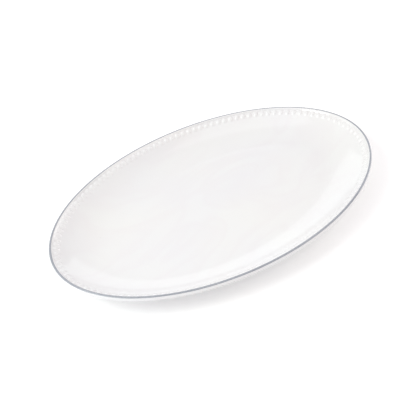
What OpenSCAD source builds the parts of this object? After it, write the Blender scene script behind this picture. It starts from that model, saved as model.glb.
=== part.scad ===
// China serving platter: a one-piece oval dish of white glazed china with a
// raised row of beads inside the lip, a painted line along the lip and a plain
// oval foot ring. Millimetres. +X runs along the length, +Z is up, and the foot
// ring's bearing face lies at z = 0.
//
// The outline is an oval of eight circular arcs that follows an ellipse. Every
// border section is one closed profile swept round each arc's own centre, so the
// border keeps one width all the way round.

/* [Outline] */
// Radius of the two end arcs
end_radius = 96; // [80:0.5:120]
// Radius of the four arcs between the ends and the sides
shoulder_radius = 167.5; // [130:0.5:200]
// Radius of the two side arcs
side_radius = 255; // [200:0.5:320]

/* [Dish] */
// Height from the bearing face to the top of the lip
height = 27; // [20:0.5:36]
// Height of the floor's upper face
floor_top = 7.6; // [6:0.1:11]
// Thickness of the china
china = 4.4; // [3:0.1:6]
// Radius of the cove that joins the floor to the border
cove_radius = 72; // [50:1:90]
// Radius of the rounded top of the lip
lip_radius = 1.7; // [1.2:0.1:2.2]
// Radius of the rounded lower edge outside the lip
heel_radius = 1.8; // [1:0.1:2.2]

/* [Foot ring] */
// Distance from the outline to the ring's outer face at its root
foot_inset = 43.5; // [40:0.5:45]
// Width of the ring at its root
foot_root = 7.6; // [6:0.1:8.4]
// Width of the flat bearing face
foot_face = 3.2; // [2.5:0.1:4]
// Radius of the ring's rounded lower corners
foot_corner = 0.9; // [0.5:0.1:1.2]

/* [Beads] */
// Beads on each quarter of the outline
beads_per_quarter = 32; // [24:1:40]
// Distance down the border's slope from the lip to a bead's middle
bead_drop = 5.7; // [4:0.1:6.5]
// Length of a bead along the slope
bead_length = 7.2; // [5:0.1:8]
// Width of a bead round the border
bead_width = 5; // [4:0.1:6]
// Height of a bead above the border
bead_rise = 1; // [0.8:0.1:2]
// Narrow end's radius as a share of the wide end's
bead_taper = 0.9; // [0.6:0.01:0.95]
// Depth of a bead's root in the border
bead_root = 0.25; // [0.1:0.05:0.5]

/* [Painted line] */
// Thickness of the painted line over the lip
line_thick = 0.25; // [0.15:0.05:0.4]
// Angle on the lip where the line starts, from straight outward
line_from = 38; // [0:1:60]
// Angle on the lip where the line ends, inside the crest
line_to = 112; // [80:1:130]

/* [Hidden] */
$fn = 200;
big = 500;

// ---- Arcs of the outline ----
// Two arcs meet where their shared normal points along join_a (end and shoulder)
// or join_b (shoulder and side). Both are sides of whole-number triangles, 3-4-5
// and 44-117-125, so neighbouring arcs meet without a step.
join_a = [4, 3] / 5;
join_b = [44, 117] / 125;
end_at = [(shoulder_radius - end_radius) * join_a.x
          + (side_radius - shoulder_radius) * join_b.x, 0];
shoulder_at = end_at - (shoulder_radius - end_radius) * join_a;
side_at = shoulder_at - (side_radius - shoulder_radius) * join_b;
half_length = end_at.x + end_radius;
half_width = side_at.y + side_radius;

// ---- Points of the border's section ----
// In a section x = 0 is the outline and x is negative towards the middle.
lip = [-line_thick - lip_radius, height - line_thick - lip_radius];
up = [-3, 4] / 5;                                  // out of the border's face
down = [-4, -3] / 5;                               // down the border's face
slope = atan2(3, 4);
brow = lip + lip_radius * up;                      // where the lip meets the face
cove_z = floor_top + cove_radius;
cove_x = brow.x - (cove_radius - up.y * (cove_z - brow.y)) / -up.x;
cove = [cove_x, cove_z];
face_end = cove - cove_radius * up;                // where the face meets the cove
floor_inset = -cove_x;
heel_x = -line_thick - heel_radius;
heel = [heel_x, brow.y + (heel_radius - china - up.x * (heel_x - brow.x)) / up.y];

// ---- Sweeping a section round the oval ----
// Turns the section round one arc's centre and keeps the part over a wedge.
module arc_sweep(centre, radius, wedge) {
    intersection() {
        translate(centre) rotate([0, 0, 180]) rotate_extrude()
            translate([radius, 0]) children();
        translate([0, 0, -1]) linear_extrude(height + 2) polygon(wedge);
    }
}

// The wedges' corners lie on the shared normals, inside and outside the oval.
in_b = shoulder_at + 62.5 * join_b;
out_a = end_at + 200 * join_a;
out_b = shoulder_at + 300 * join_b;

// Turns the section round all eight arcs.
module oval_sweep() {
    for (turn = [0, 180]) rotate([0, 0, turn]) {
        arc_sweep(end_at, end_radius, [end_at, out_a, [out_a.x, -out_a.y]])
            children();
        arc_sweep(shoulder_at, shoulder_radius, [end_at, out_a, out_b, in_b])
            children();
        arc_sweep(side_at, side_radius,
                  [in_b, out_b, [-out_b.x, out_b.y], [-in_b.x, in_b.y]])
            children();
        arc_sweep([-shoulder_at.x, shoulder_at.y], shoulder_radius,
                  [-end_at, [-in_b.x, in_b.y], [-out_b.x, out_b.y], [-out_a.x, out_a.y]])
            children();
    }
}

// ---- The flat area inside an inset outline ----
// The part of a disc between two directions from its centre.
module pie(radius, from, to) {
    intersection() {
        circle(radius);
        polygon([[0, 0], big * from, big * to]);
    }
}

module oval_area(inset) {
    p = end_at + (end_radius - inset) * join_a;
    q = shoulder_at + (shoulder_radius - inset) * join_b;
    polygon([p, q, [-q.x, q.y], [-p.x, p.y], -p, -q, [q.x, -q.y], [p.x, -p.y]]);
    for (turn = [0, 180]) rotate([0, 0, turn]) {
        translate(end_at) pie(end_radius - inset, [join_a.x, -join_a.y], join_a);
        translate(shoulder_at) pie(shoulder_radius - inset, join_a, join_b);
        translate([-shoulder_at.x, shoulder_at.y])
            pie(shoulder_radius - inset, [-join_b.x, join_b.y], [-join_a.x, join_a.y]);
        intersection() {
            translate(side_at)
                pie(side_radius - inset, join_b, [-join_b.x, join_b.y]);
            translate([-big, 0]) square([2 * big, big]);
        }
    }
}

// ---- China body: floor, cove, sloped border and rounded lip ----
module border_section() {
    // Cove, from the floor's edge up to the border
    intersection() {
        translate(cove) difference() {
            circle(cove_radius + china);
            circle(cove_radius);
        }
        polygon([cove, cove - [0, 2 * cove_radius], cove - 2 * cove_radius * up]);
    }
    // Sloped border
    polygon([brow, face_end, face_end - china * up, heel - heel_radius * up, heel,
             heel + [heel_radius, 0], lip + [lip_radius, 0], lip]);
    translate(heel) circle(heel_radius);
    translate(lip) circle(lip_radius);
}

module body() {
    color([0.95, 0.95, 0.94]) union() {
        oval_sweep() border_section();
        translate([0, 0, floor_top - china])
            linear_extrude(china) oval_area(floor_inset);
    }
}

// ---- Foot ring: tapered, with a flat bearing face ----
module foot_section() {
    middle = -foot_inset - foot_root / 2;
    flat = foot_face / 2;
    difference() {
        union() {
            polygon([[middle - foot_root / 2, height / 2], [middle + foot_root / 2, height / 2],
                     [middle + foot_root / 2, floor_top - china + 0.4],
                     [middle + flat + foot_corner, foot_corner],
                     [middle + flat, 0], [middle - flat, 0],
                     [middle - flat - foot_corner, foot_corner],
                     [middle - foot_root / 2, floor_top - china + 0.4]]);
            for (side = [-1, 1])
                translate([middle + side * flat, foot_corner]) circle(foot_corner);
        }
        translate(cove) circle(cove_radius + china);
    }
}

module foot_ring() {
    color([0.90, 0.87, 0.82]) oval_sweep() foot_section();
}

// ---- Bead border ----
// One bead: the top of an egg turned about the slope, wide end towards the lip.
wide = (pow(bead_width / 2, 2) + pow(bead_rise, 2)) / (2 * bead_rise);
sink = wide - bead_rise;
narrow = sink + (wide - sink) * bead_taper;
wide_half = sqrt(pow(wide, 2) - pow(sink, 2));
narrow_half = sqrt(pow(narrow, 2) - pow(sink, 2));
span = bead_length - wide_half - narrow_half;
lean = asin((wide - narrow) / span);
bite = 0.01;  // how far the egg's flank cuts into its two rounds, so that it meets both

module egg_section() {
    intersection() {
        union() {
            rotate(180) circle(wide);
            translate([0, -span]) rotate(180) circle(narrow);
            polygon([[0, 0], (wide - bite) * [cos(lean), -sin(lean)],
                     [0, -span] + (narrow - bite) * [cos(lean), -sin(lean)], [0, -span]]);
        }
        translate([0, -big / 2]) square([big, big]);
    }
}

module bead() {
    // The egg's axis lies along local x, with the wide end at +x
    intersection() {
        translate([bead_length / 2 - wide_half, 0, -sink])
            rotate([0, 90, 0]) rotate_extrude() egg_section();
        translate([-bead_length, -bead_length, -bead_root])
            cube([2 * bead_length, 2 * bead_length, bead_length]);
    }
}

// The bead row's length, arc by arc, over a quarter of the outline
bead_at = brow + bead_drop * down;
row_inset = -bead_at.x;
turn_a = atan2(join_a.y, join_a.x);
turn_b = atan2(join_b.y, join_b.x);
degree = PI / 180;
end_run = (end_radius - row_inset) * turn_a * degree;
shoulder_run = (shoulder_radius - row_inset) * (turn_b - turn_a) * degree;
side_run = (side_radius - row_inset) * (90 - turn_b) * degree;
quarter_run = end_run + shoulder_run + side_run;

// Direction of the outline's normal after a length of bead row
function normal_at(run) =
    run < end_run ? run / (end_radius - row_inset) / degree
    : run < end_run + shoulder_run
        ? turn_a + (run - end_run) / (shoulder_radius - row_inset) / degree
        : turn_b + (run - end_run - shoulder_run) / (side_radius - row_inset) / degree;

function centre_at(angle) =
    angle < turn_a ? end_at : angle < turn_b ? shoulder_at : side_at;

function radius_at(angle) =
    angle < turn_a ? end_radius : angle < turn_b ? shoulder_radius : side_radius;

module bead_border() {
    color([0.96, 0.96, 0.95])
        for (k = [0 : beads_per_quarter - 1]) {
            angle = normal_at((k + 0.5) * quarter_run / beads_per_quarter);
            out = radius_at(angle) - row_inset;
            at = centre_at(angle) + out * [cos(angle), sin(angle)];
            for (turn = [0, 180]) rotate([0, 0, turn]) {
                translate([at.x, at.y, bead_at.y])
                    rotate([0, 0, angle]) rotate([0, -slope, 0]) bead();
                translate([-at.x, at.y, bead_at.y])
                    rotate([0, 0, 180 - angle]) rotate([0, -slope, 0]) bead();
            }
        }
}

// ---- Painted line over the lip ----
module line_section() {
    intersection() {
        translate(lip) difference() {
            circle(lip_radius + line_thick);
            circle(lip_radius);
        }
        polygon([lip, lip + 3 * lip_radius * [cos(line_from), sin(line_from)],
                 lip + 3 * lip_radius * [1, 1],
                 lip + 3 * lip_radius * [cos(line_to), sin(line_to)]]);
    }
}

module edge_line() {
    color([0.45, 0.50, 0.58]) oval_sweep() line_section();
}

body();
foot_ring();
bead_border();
edge_line();
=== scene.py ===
"""China serving platter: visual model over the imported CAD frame.

Lengths are in millimetres unless a name or comment says otherwise; MM turns them
into Blender's metres. The platter's long axis is X and its foot stands on z = 0.
A section is drawn as (inset, height): inset is the distance inward from the
outline, measured square to it.
"""

import math

import bpy
import numpy as np
from mathutils import Matrix, Vector


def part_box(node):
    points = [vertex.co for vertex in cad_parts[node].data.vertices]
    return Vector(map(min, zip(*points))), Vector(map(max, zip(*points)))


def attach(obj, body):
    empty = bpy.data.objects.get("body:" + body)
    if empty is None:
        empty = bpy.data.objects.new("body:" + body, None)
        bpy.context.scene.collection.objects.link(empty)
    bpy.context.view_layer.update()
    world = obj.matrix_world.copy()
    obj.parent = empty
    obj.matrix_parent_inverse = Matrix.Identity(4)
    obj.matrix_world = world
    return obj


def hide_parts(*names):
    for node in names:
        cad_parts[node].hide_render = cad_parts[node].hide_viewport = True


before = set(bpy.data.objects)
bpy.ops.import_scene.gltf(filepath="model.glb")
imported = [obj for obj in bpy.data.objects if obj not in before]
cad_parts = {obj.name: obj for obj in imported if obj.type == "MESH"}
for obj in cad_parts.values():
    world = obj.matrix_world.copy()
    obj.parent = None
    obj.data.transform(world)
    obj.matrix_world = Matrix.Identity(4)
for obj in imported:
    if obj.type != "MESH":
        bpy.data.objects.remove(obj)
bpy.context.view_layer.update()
MM = 0.001

# ---- Sizes taken from the frame ----
body_low, body_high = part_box("body")
line_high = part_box("edge_line")[1]
LINE_BED = 0.25             # room left outside the lip for the painted line
HALF_LENGTH = body_high[0] / MM + LINE_BED
HALF_WIDTH = body_high[1] / MM + LINE_BED
HEIGHT = line_high[2] / MM

# ---- Sizes of the section, the same as in the CAD ----
CHINA = 4.4                 # thickness of the wall and floor
FLOOR_TOP = body_low[2] / MM + CHINA
COVE_RADIUS = 72.0
LIP_RADIUS = 1.7
HEEL_RADIUS = 1.8
SLOPE = math.atan2(3, 4)    # slope of the beaded border
UP = np.array([math.sin(SLOPE), math.cos(SLOPE)])      # square to the border, (inward, up)
DOWN = np.array([math.cos(SLOPE), -math.sin(SLOPE)])   # down the border

LIP = np.array([LINE_BED + LIP_RADIUS, HEIGHT - LINE_BED - LIP_RADIUS])
BROW = LIP + LIP_RADIUS * UP
COVE = np.array([
    BROW[0] + (COVE_RADIUS - UP[1] * (FLOOR_TOP + COVE_RADIUS - BROW[1])) / UP[0],
    FLOOR_TOP + COVE_RADIUS,
])
FACE_END = COVE - COVE_RADIUS * UP
HEEL_INSET = LINE_BED + HEEL_RADIUS
HEEL = np.array([
    HEEL_INSET,
    BROW[1] + (HEEL_RADIUS - CHINA - UP[0] * (HEEL_INSET - BROW[0])) / UP[1],
])

# ---- Sizes of the beads: lower, shorter and broader than the CAD's, and nearer the lip ----
BEADS = 128
BEAD_DROP = 5.4             # from the brow to a bead's middle, down the border
BEAD_LENGTH = 7.0
BEAD_WIDTH = 5.4
BEAD_RISE = 0.68


# ---- The outline ----
OUTLINE_STEPS = 20000       # steps used to measure the way round


def outline(turn, inset):
    """Points on the outline, moved inward by inset, where its normal points along turn (radians)."""
    c, s = np.cos(turn), np.sin(turn)
    reach = np.sqrt((HALF_LENGTH * c) ** 2 + (HALF_WIDTH * s) ** 2)
    x = (HALF_LENGTH**2 / reach - inset) * c
    y = (HALF_WIDTH**2 / reach - inset) * s
    return np.stack([x, y], -1)


def measured_outline(inset):
    """A function from distance round the outline to the normal's direction, and the whole distance."""
    fine = np.linspace(0, 2 * np.pi, OUTLINE_STEPS + 1)
    steps = np.linalg.norm(np.diff(outline(fine, inset), axis=0), axis=1)
    run = np.concatenate([[0], np.cumsum(steps)])
    return lambda s: np.interp(np.mod(s, run[-1]), run, fine), run[-1]


def even_turns(count):
    """Normal directions of count points spaced evenly round the outline."""
    turn_at, length = measured_outline(0)
    return turn_at(np.arange(count) * length / count)


# ---- Mesh helpers ----
def make_piece(name, verts, faces, material, slot, replaced):
    """A mesh piece in metres that rides on the platter's one body and stands for CAD nodes."""
    mesh = bpy.data.meshes.new(name)
    mesh.from_pydata((np.asarray(verts) * MM).tolist(), [], faces)
    mesh.validate()
    mesh.update()
    for polygon in mesh.polygons:
        polygon.use_smooth = True
    piece = bpy.data.objects.new(name, mesh)
    bpy.context.scene.collection.objects.link(piece)
    mesh.materials.append(material)
    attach(piece, "root")
    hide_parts(*replaced)


def level_ring(xy, z):
    """A ring of points at one height."""
    return np.column_stack([xy, np.full(len(xy), z)])


def ring_faces(rings, count):
    """Quads between rings of count points each, the rings following one another."""
    faces = []
    for a in range(0, (rings - 1) * count, count):
        b = a + count
        for i in range(count):
            j = (i + 1) % count
            faces.append((a + i, a + j, b + j, b + i))
    return faces


def arc(centre, radius, start, stop, count):
    """Section points on an arc. Angles are in degrees from straight outward, upward positive."""
    a = np.radians(np.linspace(start, stop, count))
    return [(centre[0] - radius * math.cos(t), centre[1] + radius * math.sin(t)) for t in a]


# ---- Upper surface of the dish ----
STEP = 0.1                  # spacing of the heights that are kept ready
FINE = np.arange(-40.0, 200.0, STEP)
SOFTENING = 1.9             # reach of the blur that takes the break out of the glaze's reflections
SOFT_FROM = FACE_END[0] - 4.5

CHANNEL_DEPTH = 0.60        # the beads stand in a shallow channel behind the lip
CHANNEL_FROM, CHANNEL_STEEP = 3.5, 1.3      # inset where it starts, and the width of its steep side
CHANNEL_EASES, CHANNEL_RUN_OUT = 5.2, 5.4   # inset where it starts to run out, and over what width

# faint rings that a turned mould leaves: inset, half width, rise
MOULD_RINGS = ((61, 5.0, 0.10), (72, 5.0, -0.07), (92, 7.0, 0.06))


def raw_height(inset):
    """Border, cove and floor before softening."""
    slope = BROW[1] + (BROW[0] - inset) * math.tan(SLOPE)
    across = np.clip(COVE[0] - inset, 0, COVE_RADIUS)
    cove = COVE[1] - np.sqrt(COVE_RADIUS**2 - across**2)
    return np.where(inset < FACE_END[0], slope, cove)


def softened(values, reach):
    """values blurred over reach millimetres."""
    k = np.arange(-4 * reach, 4 * reach + STEP / 2, STEP)
    w = np.exp(-0.5 * (k / reach) ** 2)
    return np.convolve(values, w / w.sum(), mode="same")


RAW = raw_height(FINE)
SOFT = np.where(FINE > SOFT_FROM, softened(RAW, SOFTENING), RAW)


def eased(share):
    """share held within 0..1 and eased at both ends."""
    share = np.clip(share, 0, 1)
    return share**2 * (3 - 2 * share)


def channel(inset):
    """The channel's height: steep behind the lip, running out down the border."""
    behind_lip = eased((inset - CHANNEL_FROM) / CHANNEL_STEEP)
    run_out = eased((inset - CHANNEL_EASES) / CHANNEL_RUN_OUT)
    return -CHANNEL_DEPTH * behind_lip * (1 - run_out)


def dish_height(inset):
    """Height of the dish's upper surface."""
    inset = np.asarray(inset, float)
    rings = sum(rise * np.exp(-(((inset - at) / width) ** 2)) for at, width, rise in MOULD_RINGS)
    return np.interp(inset, FINE, SOFT) + rings + channel(inset)


# ---- The dish ----
AROUND = 768                # points in each ring
FLOOR_FROM = 56.0           # inset where the floor's rings stop following the border
FLOOR_RINGS = 30
INNERMOST = 0.02            # size of the innermost ring, as a share of the floor
CLOSE_FROM, CLOSE_GAP = 12.7, 0.3           # the rings lie close from here out, a gap from the wider ones
BROW_GAP = 0.15             # the last of them stops this far short of the brow
COVE_RINGS, BORDER_RINGS = 60, 50           # on the upper side, wide apart and close
LIP_RINGS, HEEL_RINGS, UNDER_RINGS, UNDER_COVE_RINGS = 20, 12, 8, 48


def body_section():
    """The closed section from the floor's edge over the lip to the underside's edge."""
    insets = np.concatenate([
        np.linspace(FLOOR_FROM, CLOSE_FROM + CLOSE_GAP, COVE_RINGS),
        np.linspace(CLOSE_FROM, BROW[0] + BROW_GAP, BORDER_RINGS),
    ])
    top = [(t, float(dish_height(t))) for t in insets]
    slope_deg = math.degrees(SLOPE)
    lip = arc(LIP, LIP_RADIUS, 90 + slope_deg, 0, LIP_RINGS)
    heel = arc(HEEL, HEEL_RADIUS, 0, slope_deg - 90, HEEL_RINGS)
    under = np.linspace(HEEL - HEEL_RADIUS * UP, FACE_END - CHINA * UP, UNDER_RINGS)[1:]
    cove = [(COVE[0] - (COVE_RADIUS + CHINA) * math.sin(a),
             COVE[1] - (COVE_RADIUS + CHINA) * math.cos(a))
            for a in np.linspace(SLOPE, 0, UNDER_COVE_RINGS)[1:]]
    return top + lip + heel + [tuple(p) for p in under] + cove + [(FLOOR_FROM, FLOOR_TOP - CHINA)]


def dish_mesh():
    """The dish, from the middle of the floor out over the lip and back underneath to the middle."""
    turn = even_turns(AROUND)
    inner = outline(turn, FLOOR_FROM)
    reach = np.linalg.norm(inner[AROUND // 4])
    shrink = np.linspace(INNERMOST, 1, FLOOR_RINGS, endpoint=False)
    rings = [level_ring(inner * s, dish_height(FLOOR_FROM + (1 - s) * reach)) for s in shrink]
    rings += [level_ring(outline(turn, inset), z) for inset, z in body_section()]
    rings += [level_ring(inner * s, FLOOR_TOP - CHINA) for s in shrink[::-1]]
    faces = [f[::-1] for f in ring_faces(len(rings), AROUND)]

    verts = np.concatenate(rings)
    top, bottom = len(verts), len(verts) + 1
    verts = np.vstack([verts, [[0, 0, float(dish_height(FLOOR_FROM + reach))],
                               [0, 0, FLOOR_TOP - CHINA]]])
    last = top - AROUND
    faces += [(top, i, (i + 1) % AROUND) for i in range(AROUND)]
    faces += [(bottom, last + (i + 1) % AROUND, last + i) for i in range(AROUND)]
    return verts, faces


# ---- Beads ----
BEAD_MIDDLE = BROW + BEAD_DROP * DOWN
FOOT_REACH = 1.10           # where a bead's rounded foot runs out, as a share of its outline
SKIRT = 1.20                # its mesh ends a little below the glaze, out here
BEAD_SINK = 0.06            # and this far below
BEAD_RINGS, BEAD_SPOKES = 15, 36
SQUARENESS = 2.35           # 2 would be an ellipse in plan; more squares its shoulders
CROWN_FULL, CROWN_FALL = 2.6, 1.5           # powers that shape the crown
BEAD_FLARE = 0.02           # share by which a bead widens toward the lip
SIZE_SPREAD, RISE_SPREAD = 0.012, 0.025     # how much beads differ
BEAD_SEED = 7


def bead_mesh():
    """Long oval beads, each running into the border through a soft foot."""
    turn_at, length = measured_outline(BEAD_MIDDLE[0])
    r = np.concatenate([[0], np.linspace(0, 1, BEAD_RINGS + 1)[1:] * SKIRT])
    spoke = np.linspace(0, 2 * np.pi, BEAD_SPOKES, endpoint=False)
    round_sum = np.abs(np.cos(spoke)) ** SQUARENESS + np.abs(np.sin(spoke)) ** SQUARENESS
    square = round_sum ** (-1 / SQUARENESS)
    along, across = np.outer(r, square * np.cos(spoke)), np.outer(r, square * np.sin(spoke))
    crown = ((1 - np.minimum(r / FOOT_REACH, 1) ** CROWN_FULL) ** CROWN_FALL)[:, None]
    sunk = (BEAD_SINK * np.clip((r - 1) / (SKIRT - 1), 0, 1) ** 2)[:, None]

    # faces of one bead: point 0 is its middle, and its rings follow
    faces_of_one = []
    for i in range(BEAD_SPOKES):
        j = (i + 1) % BEAD_SPOKES
        faces_of_one.append((0, 1 + j, 1 + i))
        for a in range(1, (BEAD_RINGS - 1) * BEAD_SPOKES, BEAD_SPOKES):
            b = a + BEAD_SPOKES
            faces_of_one.append((a + i, a + j, b + j, b + i))

    verts, faces = [], []
    rng = np.random.default_rng(BEAD_SEED)
    for k in range(BEADS):
        long_half = BEAD_LENGTH / 2 * (1 + rng.normal(0, SIZE_SPREAD))
        wide_half = BEAD_WIDTH / 2 * (1 + rng.normal(0, SIZE_SPREAD))
        rise = BEAD_RISE * (1 + rng.normal(0, RISE_SPREAD))
        u = along * long_half
        v = across * wide_half * (1 + BEAD_FLARE * along)
        ground = channel(BEAD_MIDDLE[0] - u * DOWN[0]) * UP[1]
        lift = ground * (1 - crown) + rise * crown - sunk
        inset = BEAD_MIDDLE[0] - u * DOWN[0] + lift * UP[0]
        z = BEAD_MIDDLE[1] - u * DOWN[1] + lift * UP[1]
        xy = outline(turn_at((k + 0.5) * length / BEADS + v), inset)
        points = np.concatenate([xy, z[..., None]], -1)
        base = len(verts)
        verts.append(points[0, 0])
        verts.extend(points[1:].reshape(-1, 3))
        faces += [tuple(base + n for n in face) for face in faces_of_one]
    return np.array(verts), faces


# ---- Painted line ----
LINE_FROM, LINE_TO = 38.0, 117.0            # degrees round the lip from straight outward
LINE_AROUND, LINE_ACROSS = 1536, 18
LINE_THICK, LINE_SINK = 0.12, 0.01          # height of its middle, and depth of its edges in the glaze
LINE_ROUNDING = 0.12        # share of its width over which each edge is rounded
WANDER, WAVES = 1.1, range(3, 60)           # size in degrees, and waves round the rim, of its edges' wander
LOADED_AT, LOADED_OVER = 0.45, 0.05         # where the full brush first touched, as shares of the way round
LOADED_START, LOADED_STOP = 6, 5            # how many degrees wider it painted there
LINE_SEED = 11


def line_mesh():
    """A brushed enamel line over the lip: thin, domed, with edges that wander a little."""
    turn = even_turns(LINE_AROUND)
    run = np.arange(LINE_AROUND) / LINE_AROUND
    rng = np.random.default_rng(LINE_SEED)
    wander = np.zeros((2, LINE_AROUND))
    for waves in WAVES:
        phase = rng.uniform(0, 2 * np.pi, 2)[:, None]
        swing = rng.normal(0, WANDER, 2)[:, None] / math.sqrt(waves)
        wander += swing * np.cos(2 * np.pi * waves * run + phase)
    loaded = np.exp(-(((run - LOADED_AT) / LOADED_OVER) ** 2))
    start = LINE_FROM + wander[0] - LOADED_START * loaded
    stop = LINE_TO + wander[1] + LOADED_STOP * loaded
    rings = []
    for c in np.linspace(0, 1, LINE_ACROSS):
        angle = np.radians(start + (stop - start) * c)
        edge = min(min(c, 1 - c) / LINE_ROUNDING, 1)
        radius = LIP_RADIUS + LINE_THICK * math.sqrt(1 - (1 - edge) ** 2) - LINE_SINK
        inset = LIP[0] - radius * np.cos(angle)
        rings.append(np.column_stack([outline(turn, inset), LIP[1] + radius * np.sin(angle)]))
    return np.concatenate(rings), ring_faces(LINE_ACROSS, LINE_AROUND)


# ---- Foot ring ----
FOOT_INSET, FOOT_ROOT, FOOT_FACE, FOOT_CORNER = 43.5, 7.6, 3.2, 0.9
FOOT_BED = 0.4              # how far above the underside the foot's root lies, inside the china
BLEND_DROP, BLEND_HEIGHT = 0.9, 1.15        # the run into the underside: where it starts, and its height
BLEND_OUT, BLEND_POWER = 0.75, 2.4          # how far it spreads, and how late
FLANK_FROM, FLANK_TO = 0.12, 0.94           # shares of the flank between corner and run
FOOT_AROUND = 512


def foot_section():
    """From the outer root, where the glaze runs up into the underside, round to the inner root."""
    middle = FOOT_INSET + FOOT_ROOT / 2
    blend_from = FLOOR_TOP - CHINA + FOOT_BED - BLEND_DROP
    flat = FOOT_FACE / 2
    corner = [(flat + FOOT_CORNER * math.sin(a), FOOT_CORNER * (1 - math.cos(a)))
              for a in np.linspace(0, np.pi / 2, 8)]
    flank = [(flat + FOOT_CORNER + (FOOT_ROOT / 2 - flat - FOOT_CORNER) * k,
              FOOT_CORNER + (blend_from - FOOT_CORNER) * k)
             for k in np.linspace(FLANK_FROM, FLANK_TO, 6)]
    blend = [(FOOT_ROOT / 2 + BLEND_OUT * h**BLEND_POWER, blend_from + BLEND_HEIGHT * h)
             for h in np.linspace(0, 1, 9)]
    side = [(0.0, 0.0), (flat / 2, 0.0)] + corner + flank + blend
    left = [(middle - x, z) for x, z in side[::-1]]
    right = [(middle + x, z) for x, z in side[1:]]
    return left + right


def foot_mesh():
    """The oval foot, its section carried round the outline."""
    turn = even_turns(FOOT_AROUND)
    section = foot_section()
    rings = [level_ring(outline(turn, inset), z) for inset, z in section]
    return np.concatenate(rings), ring_faces(len(section), FOOT_AROUND)


# ---- Material helpers: noise scales are in cycles per metre, over object coordinates ----
def new_material(name):
    """A material, its nodes and links, its shader and its object coordinates."""
    material = bpy.data.materials.new(name)
    material.use_nodes = True
    nodes = material.node_tree.nodes
    shader = nodes["Principled BSDF"]
    place = nodes.new("ShaderNodeTexCoord")
    return material, nodes, material.node_tree.links, shader, place.outputs["Object"]


def noise(nodes, links, place, scale, detail=3.0, rough=0.5, distortion=0.0):
    """Noise, 0 to 1."""
    node = nodes.new("ShaderNodeTexNoise")
    node.inputs["Scale"].default_value = scale
    node.inputs["Detail"].default_value = detail
    node.inputs["Roughness"].default_value = rough
    node.inputs["Distortion"].default_value = distortion
    links.new(place, node.inputs["Vector"])
    return node.outputs["Fac"]


def ramp(nodes, links, value, *stops):
    """Colours at positions along value."""
    node = nodes.new("ShaderNodeValToRGB")
    first, last = node.color_ramp.elements
    first.position, first.color = stops[0][0], (*stops[0][1], 1)
    last.position, last.color = stops[-1][0], (*stops[-1][1], 1)
    for position, colour in stops[1:-1]:
        node.color_ramp.elements.new(position).color = (*colour, 1)
    links.new(value, node.inputs["Fac"])
    return node.outputs["Color"]


def spread(nodes, links, value, low, high):
    """value from 0..1 spread over low..high."""
    node = nodes.new("ShaderNodeMapRange")
    node.inputs["To Min"].default_value = low
    node.inputs["To Max"].default_value = high
    links.new(value, node.inputs["Value"])
    return node.outputs["Result"]


def multiplied(nodes, links, a, b, factor=1.0):
    """Colour a multiplied by colour b, as far as factor says."""
    node = nodes.new("ShaderNodeMix")
    node.data_type, node.blend_type = "RGBA", "MULTIPLY"
    node.inputs["Factor"].default_value = factor
    links.new(a, node.inputs["A"])
    links.new(b, node.inputs["B"])
    return node.outputs["Result"]


def bump(nodes, links, height, distance_mm, under=None):
    """A normal bent by height, on top of the normal under."""
    node = nodes.new("ShaderNodeBump")
    node.inputs["Distance"].default_value = distance_mm * MM
    links.new(height, node.inputs["Height"])
    if under is not None:
        links.new(under, node.inputs["Normal"])
    return node.outputs["Normal"]


# ---- Materials ----
GLAZE_COOL, GLAZE_WARM = (0.806, 0.807, 0.821), (0.821, 0.817, 0.807)
WHITE = (1, 1, 1)


def glaze_material(name, gloss_low, gloss_high):
    """White china under a clear glaze: soft drifts of tone, faint orange peel, a few pin specks, and broad
    mauve clouds that are a painted reflection.
    """
    material, nodes, links, shader, place = new_material(name)
    drift = noise(nodes, links, place, scale=9.0, detail=2.0)
    tone = ramp(nodes, links, drift, (0.3, GLAZE_COOL), (0.7, GLAZE_WARM))

    # painted reflection: broad mauve clouds, stretched along the dish, put into the glaze's colour to stand
    # in for soft reflections of the studio
    stretch = nodes.new("ShaderNodeMapping")
    stretch.inputs["Scale"].default_value = (0.55, 1.0, 1.0)
    links.new(place, stretch.inputs["Vector"])
    reflection_cloud = noise(nodes, links, stretch.outputs["Vector"], scale=15.0, detail=2.0, rough=0.45, distortion=1.6)
    painted_reflection = ramp(nodes, links, reflection_cloud,
                 (0.40, WHITE), (0.51, (0.990, 0.978, 0.984)), (0.62, (0.999, 0.996, 0.998)))
    # the painted reflection clouds tint the glaze's tone toward mauve
    tone = multiplied(nodes, links, tone, painted_reflection)

    grain = noise(nodes, links, place, scale=420.0, detail=1.0)
    specks = ramp(nodes, links, grain, (0.80, WHITE), (0.86, (0.80, 0.78, 0.75)))
    links.new(multiplied(nodes, links, tone, specks, factor=0.6), shader.inputs["Base Color"])

    gloss = spread(nodes, links, noise(nodes, links, place, scale=60.0), gloss_low, gloss_high)
    links.new(gloss, shader.inputs["Roughness"])
    shader.inputs["IOR"].default_value = 1.5
    shader.inputs["Coat Weight"].default_value = 0.35
    shader.inputs["Coat Roughness"].default_value = 0.04

    wave = bump(nodes, links, noise(nodes, links, place, scale=22.0, detail=2.0), distance_mm=0.25)
    peel = noise(nodes, links, place, scale=260.0, detail=2.0)
    links.new(bump(nodes, links, peel, distance_mm=0.006, under=wave), shader.inputs["Normal"])
    return material


WIPED_LOW, WIPED_HIGH = 0.42, 0.62          # heights between which the foot's glaze begins
WIPED_WOBBLE = 0.12


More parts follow.
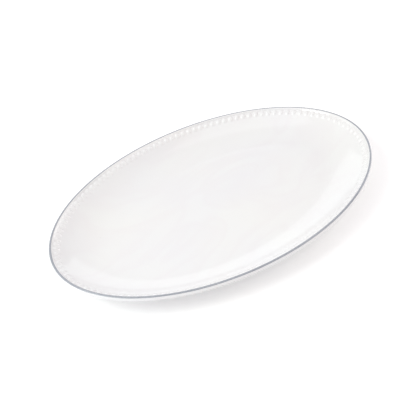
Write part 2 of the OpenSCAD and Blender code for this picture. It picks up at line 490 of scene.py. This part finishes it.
def foot_material():
    """Glazed flanks, and below the wiped glaze line the bare, slightly gritty china of the bearing face."""
    material, nodes, links, shader, place = new_material("foot_china")
    split = nodes.new("ShaderNodeSeparateXYZ")
    links.new(place, split.inputs["Vector"])
    uneven = noise(nodes, links, place, scale=90.0)
    height = nodes.new("ShaderNodeMath")
    height.operation = "ADD"
    links.new(split.outputs["Z"], height.inputs[0])
    links.new(spread(nodes, links, uneven, -WIPED_WOBBLE * MM, WIPED_WOBBLE * MM), height.inputs[1])
    step = nodes.new("ShaderNodeMapRange")
    step.interpolation_type = "SMOOTHSTEP"
    step.inputs["From Min"].default_value = WIPED_LOW * MM
    step.inputs["From Max"].default_value = WIPED_HIGH * MM
    links.new(height.outputs[0], step.inputs["Value"])
    glazed = step.outputs["Result"]

    scuff = noise(nodes, links, place, scale=45.0, detail=5.0, rough=0.65)
    bare = ramp(nodes, links, scuff, (0.35, (0.60, 0.56, 0.49)), (0.6, (0.78, 0.74, 0.67)))
    mix = nodes.new("ShaderNodeMix")
    mix.data_type = "RGBA"
    links.new(glazed, mix.inputs["Factor"])
    links.new(bare, mix.inputs["A"])
    mix.inputs["B"].default_value = (0.83, 0.83, 0.82, 1)
    links.new(mix.outputs["Result"], shader.inputs["Base Color"])
    links.new(spread(nodes, links, glazed, 0.72, 0.10), shader.inputs["Roughness"])

    edge = bump(nodes, links, glazed, distance_mm=0.12)
    grit = noise(nodes, links, place, scale=900.0, detail=4.0, rough=0.7)
    links.new(bump(nodes, links, grit, distance_mm=0.02, under=edge), shader.inputs["Normal"])
    return material


def enamel_material():
    """Blue-grey enamel, brushed on: tone drifts along the line, with a glossy fired surface."""
    material, nodes, links, shader, place = new_material("edge_enamel")
    drift = noise(nodes, links, place, scale=30.0)
    streak = noise(nodes, links, place, scale=500.0, rough=0.6)
    tone = ramp(nodes, links, drift, (0.3, (0.33, 0.345, 0.385)), (0.7, (0.40, 0.415, 0.455)))
    brush = ramp(nodes, links, streak, (0.35, (0.86, 0.87, 0.88)), (0.65, WHITE))
    links.new(multiplied(nodes, links, tone, brush), shader.inputs["Base Color"])
    links.new(spread(nodes, links, streak, 0.12, 0.24), shader.inputs["Roughness"])
    links.new(bump(nodes, links, streak, distance_mm=0.008), shader.inputs["Normal"])
    return material


glaze = glaze_material("glazed_china", 0.09, 0.17)
bead_glaze = glaze_material("bead_glaze", 0.22, 0.32)

make_piece("platter_body", *dish_mesh(), glaze, "glaze", ["body"])
make_piece("bead_relief", *bead_mesh(), bead_glaze, "bead_glaze", ["bead_border"])
make_piece("painted_line", *line_mesh(), enamel_material(), "edge_enamel", ["edge_line"])
make_piece("foot_rim", *foot_mesh(), foot_material(), "foot", ["foot_ring"])


# ---- Camera: above one long side, with the platter's left end nearer ----
CAMERA_TURN = math.radians(33.21)       # how far the long axis is turned from square on
CAMERA_TILT = math.radians(36.17)       # elevation above the table
CAMERA_ROLL = math.radians(9.54)
CAMERA_FAR, CAMERA_SIDE, CAMERA_RISE = 4.2745, -0.0601, -0.1003     # from the rim's middle, in half lengths
RIM_DROP = 0.3                          # the rim's middle is taken this far below the top
LENS, SENSOR = 66.79, 36.0

half = HALF_LENGTH * MM
right = Vector((math.cos(CAMERA_TURN), -math.sin(CAMERA_TURN), 0))
level = Vector((math.sin(CAMERA_TURN), math.cos(CAMERA_TURN), 0))
ahead = math.cos(CAMERA_TILT) * level - math.sin(CAMERA_TILT) * Vector((0, 0, 1))
above = math.sin(CAMERA_TILT) * level + math.cos(CAMERA_TILT) * Vector((0, 0, 1))
rim_middle = Vector((0, 0, (HEIGHT - RIM_DROP) * MM))
spot = rim_middle + half * (CAMERA_SIDE * right + CAMERA_RISE * above - CAMERA_FAR * ahead)
axis_x = math.cos(CAMERA_ROLL) * right - math.sin(CAMERA_ROLL) * above
axis_y = math.sin(CAMERA_ROLL) * right + math.cos(CAMERA_ROLL) * above

camera_data = bpy.data.cameras.new("camera")
camera_data.sensor_width = SENSOR
camera_data.lens = LENS
camera = bpy.data.objects.new("camera", camera_data)
camera.matrix_world = Matrix.Translation(spot) @ Matrix((axis_x, axis_y, -ahead)).transposed().to_4x4()
bpy.context.scene.collection.objects.link(camera)
bpy.context.scene.camera = camera


# ---- Floor and light ----
FLOOR_HALF = 3.0            # metres
FLOOR_GREY = 0.78
FLOOR_GLOW = 0.26           # the pale floor is lit from below, as a light table is, which keeps shadows soft


def plain_floor():
    """A pale matt floor that the platter stands on."""
    mesh = bpy.data.meshes.new("floor")
    w = FLOOR_HALF
    mesh.from_pydata([(-w, -w, 0), (w, -w, 0), (w, w, 0), (-w, w, 0)], [], [(0, 1, 2, 3)])
    floor = bpy.data.objects.new("floor", mesh)
    material = bpy.data.materials.new("floor_white")
    material.use_nodes = True
    shader = material.node_tree.nodes["Principled BSDF"]
    shader.inputs["Base Color"].default_value = (FLOOR_GREY, FLOOR_GREY, FLOOR_GREY, 1)
    shader.inputs["Emission Color"].default_value = (1, 1, 1, 1)
    shader.inputs["Emission Strength"].default_value = FLOOR_GLOW
    shader.inputs["Roughness"].default_value = 0.9
    shader.inputs["Specular IOR Level"].default_value = 0.1
    mesh.materials.append(material)
    bpy.context.scene.collection.objects.link(floor)


def softbox(name, side, up_deg, power, colour, distance=2.0, size=(1.1, 1.0)):
    """An area light aimed at the platter.

    side is degrees round from the camera, anticlockwise from above, and up_deg is degrees above the table.
    distance and size are in metres, power in watts.
    """
    heading = math.atan2(-level.y, -level.x) + math.radians(side)
    up_angle = math.radians(up_deg)
    at = distance * Vector((math.cos(heading) * math.cos(up_angle),
                            math.sin(heading) * math.cos(up_angle), math.sin(up_angle)))
    light = bpy.data.lights.new(name, "AREA")
    light.shape = "RECTANGLE"
    light.size, light.size_y = size
    light.energy = power
    light.color = colour
    lamp = bpy.data.objects.new(name, light)
    lamp.location = at
    lamp.rotation_euler = (-at).to_track_quat("-Z", "Y").to_euler()
    bpy.context.scene.collection.objects.link(lamp)


ROOM_LIGHT = 0.61           # even light from the room's walls and ceiling
ROOM_TINT = (1, 0.97, 0.99, 1)


def studio_room():
    """An evenly lit room."""
    world = bpy.data.worlds.new("studio")
    bpy.context.scene.world = world
    world.use_nodes = True
    background = world.node_tree.nodes["Background"]
    background.inputs["Color"].default_value = ROOM_TINT
    background.inputs["Strength"].default_value = ROOM_LIGHT


plain_floor()
softbox("over", 0, 88, 3.1, (0.95, 0.92, 1), distance=1.8, size=(1.2, 1.2))
softbox("left_low", -108, 16, 4.3, (0.97, 1, 0.95))
softbox("front_left_low", -70, 16, 4.5, (0.92, 0.92, 1))
softbox("key", -70, 45, 17.0, (0.92, 1, 0.94))
softbox("fill", 70, 45, 6.3, (1, 0.92, 0.84))
softbox("back_right_low", 125, 16, 8.6, (1, 1, 1))
softbox("back_low", 180, 16, 2.1, (0.92, 1, 1))
studio_room()
bpy.context.scene.view_settings.view_transform = "Standard"
